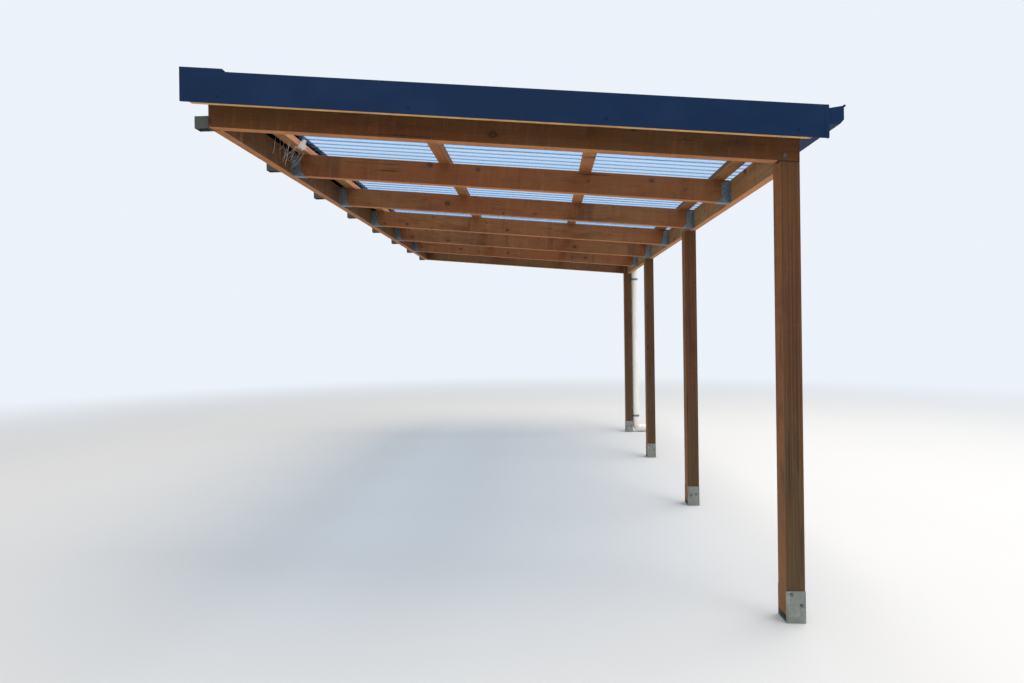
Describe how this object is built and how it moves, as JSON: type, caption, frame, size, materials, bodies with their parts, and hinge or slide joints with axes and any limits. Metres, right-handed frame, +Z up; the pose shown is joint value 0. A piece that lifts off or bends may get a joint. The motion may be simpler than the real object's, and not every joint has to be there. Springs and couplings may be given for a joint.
{
  "type": "lean-to timber pergola",
  "caption": "Timber pergola with a clear corrugated roof that falls from a bracketed ledger to a beam on posts, with gutter and downpipe.",
  "frame": {"origin": "middle of the foot plate of the front post's anchor, on the slab", "axes": "+Z up, +X down the roof's fall, away from the wall, and the front faces -Y"},
  "size_m": [3.1316, 5.7598, 2.6409],
  "materials": {
    "stained_pine": "rough sawn, stained",
    "galvanised_steel": "galvanised, dull",
    "dark_steel": "matt",
    "coated_sheet_steel": "satin",
    "clear_sheet": "clear, glossy",
    "foam": "matt",
    "white_plastic": "satin"
  },
  "bodies": {
    "root": {"ledger": "stained_pine", "outer_beam": "stained_pine", "front_rafter": "stained_pine", "rafter_2": "stained_pine", "rafter_3": "stained_pine", "rafter_4": "stained_pine", "rafter_5": "stained_pine", "rafter_6": "stained_pine", "rear_rafter": "stained_pine", "batten_1": "stained_pine", "batten_2": "stained_pine", "batten_3": "stained_pine", "batten_4": "stained_pine", "front_barge_board": "stained_pine", "rear_barge_board": "stained_pine", "post_1": "stained_pine", "post_2": "stained_pine", "post_3": "stained_pine", "post_4": "stained_pine", "post_anchor_1": "galvanised_steel", "post_anchor_2": "galvanised_steel", "post_anchor_3": "galvanised_steel", "post_anchor_4": "galvanised_steel", "ledger_hangers": "galvanised_steel", "beam_hangers": "galvanised_steel", "gutter_straps": "galvanised_steel", "ledger_brackets": "dark_steel", "front_barge_flashing": "coated_sheet_steel", "rear_barge_flashing": "coated_sheet_steel", "apron_flashing": "coated_sheet_steel", "gutter": "coated_sheet_steel", "gutter_end_caps": "coated_sheet_steel", "roof_sheet_1": "clear_sheet", "roof_sheet_2": "clear_sheet", "roof_sheet_3": "clear_sheet", "roof_sheet_4": "clear_sheet", "roof_sheet_5": "clear_sheet", "roof_sheet_6": "clear_sheet", "roof_sheet_7": "clear_sheet", "roof_sheet_8": "clear_sheet", "closure_strip": "foam", "downpipe": "white_plastic", "gutter_outlet": "white_plastic", "downpipe_bend": "white_plastic", "downpipe_clips": "white_plastic"}
  },
  "joints": []
}
